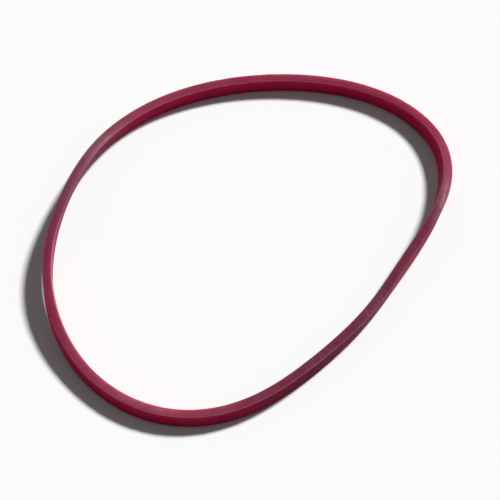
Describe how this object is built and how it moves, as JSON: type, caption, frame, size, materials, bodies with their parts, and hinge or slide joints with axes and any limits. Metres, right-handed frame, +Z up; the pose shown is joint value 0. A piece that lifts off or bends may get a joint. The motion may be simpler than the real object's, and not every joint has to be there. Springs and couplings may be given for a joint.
{
  "type": "rubber band",
  "caption": "Slack rubber band, a closed elastic ring sliced from a rubber tube, lying in a loose loop; stretched round things to hold them together.",
  "frame": {"origin": "middle of the loop in plan, on the table that the band lies on", "axes": "+Z up, along the axis of the tube the band was sliced from; +X to the right and +Y away from the viewer, as the slack loop lies"},
  "size_m": [0.0424, 0.0434, 0.0035],
  "materials": {
    "crimson_rubber": "satin, lightly dusted on the cut faces"
  },
  "bodies": {
    "root": {"rubber_band": "crimson_rubber"}
  },
  "joints": []
}
